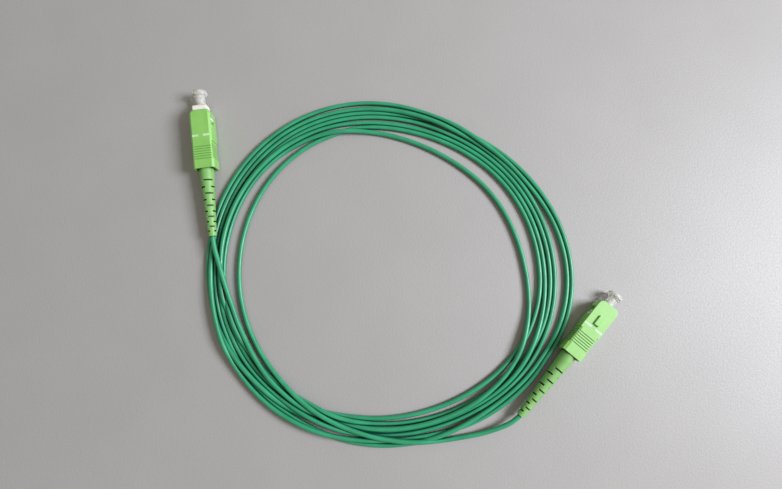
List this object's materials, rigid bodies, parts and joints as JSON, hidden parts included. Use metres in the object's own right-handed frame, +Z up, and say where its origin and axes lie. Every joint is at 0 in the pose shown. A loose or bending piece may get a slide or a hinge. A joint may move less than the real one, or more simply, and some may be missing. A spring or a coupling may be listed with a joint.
{
  "type": "fiber optic patch cord",
  "caption": "Simplex fibre optic patch cord in a loose coil, with a push-pull angle-polished connector, boot and dust cap on each end.",
  "frame": {"origin": "bottom centre of the box around the two connectors, on the surface that the cord lies on", "axes": "+X from connector a towards connector b across the coil, +Y up the layout as seen from above, +Z up from the surface"},
  "size_m": [0.1841, 0.1512, 0.0082],
  "materials": {
    "grip_green": "satin moulded plastic, apple green",
    "mark_white": "flush printed-looking inlay, pale",
    "inner_white": "satin moulded plastic, white",
    "ceramic": "polished zirconia ceramic",
    "nickel": "turned, nickel plated",
    "clear_tube": "thin extruded tube",
    "fibre_glass": "drawn glass",
    "spring_steel": "drawn spring wire",
    "stop_metal": "turned, nickel plated",
    "aramid": "bundled yellow yarn",
    "crimp_metal": "crimped sleeve",
    "jacket_green": "smooth extruded LSZH jacket, teal green",
    "buffer_white": "tight buffer",
    "boot_green": "soft moulded elastomer, apple green",
    "cap_clear": "milky translucent soft plastic"
  },
  "bodies": {
    "root": {"inner_housing_a": "inner_white", "spring_a": "spring_steel", "stop_body_a": "stop_metal", "aramid_yarn_a": "aramid", "crimp_ring_a": "crimp_metal", "cable_jacket_a": "jacket_green", "fibre_buffer_a": "buffer_white", "boot_a": "boot_green", "inner_housing_b": "inner_white", "spring_b": "spring_steel", "stop_body_b": "stop_metal", "aramid_yarn_b": "aramid", "crimp_ring_b": "crimp_metal", "cable_jacket_b": "jacket_green", "fibre_buffer_b": "buffer_white", "boot_b": "boot_green", "cable_coil": "jacket_green", "cable_lead_a": "jacket_green", "cable_lead_b": "jacket_green"},
    "grip_a": {"grip_a": "grip_green", "indicator_marks_a": "mark_white"},
    "ferrule_a": {"ferrule_a": "ceramic", "ferrule_flange_a": "nickel", "guide_tube_a": "clear_tube", "glass_fibre_a": "fibre_glass"},
    "cap_a": {"dust_cap_a": "cap_clear"},
    "grip_b": {"grip_b": "grip_green", "indicator_marks_b": "mark_white"},
    "ferrule_b": {"ferrule_b": "ceramic", "ferrule_flange_b": "nickel", "guide_tube_b": "clear_tube", "glass_fibre_b": "fibre_glass"},
    "cap_b": {"dust_cap_b": "cap_clear"}
  },
  "joints": [
    {"name": "grip_a_slide", "type": "slide", "parent": "root", "child": "grip_a", "axis": [-0.1288, 0.9917, 0], "range_m": [0, 0.0031]},
    {"name": "ferrule_a_float", "type": "slide", "parent": "root", "child": "ferrule_a", "axis": [-0.1288, 0.9917, 0], "range_m": [-0.0015, 0], "stiffness_N_per_m": 2500, "springref_m": 0.0032, "deforming": ["spring_a"]},
    {"name": "cap_a_pull", "type": "slide", "parent": "ferrule_a", "child": "cap_a", "axis": [-0.1288, 0.9917, 0], "range_m": [0, 0.01]},
    {"name": "grip_b_slide", "type": "slide", "parent": "root", "child": "grip_b", "axis": [0.6481, 0.7615, 0], "range_m": [-0.0031, 0]},
    {"name": "ferrule_b_float", "type": "slide", "parent": "root", "child": "ferrule_b", "axis": [0.6481, 0.7615, 0], "range_m": [-0.0015, 0], "stiffness_N_per_m": 2500, "springref_m": 0.0032, "deforming": ["spring_b"]},
    {"name": "cap_b_pull", "type": "slide", "parent": "ferrule_b", "child": "cap_b", "axis": [0.6481, 0.7615, 0], "range_m": [0, 0.01]}
  ]
}
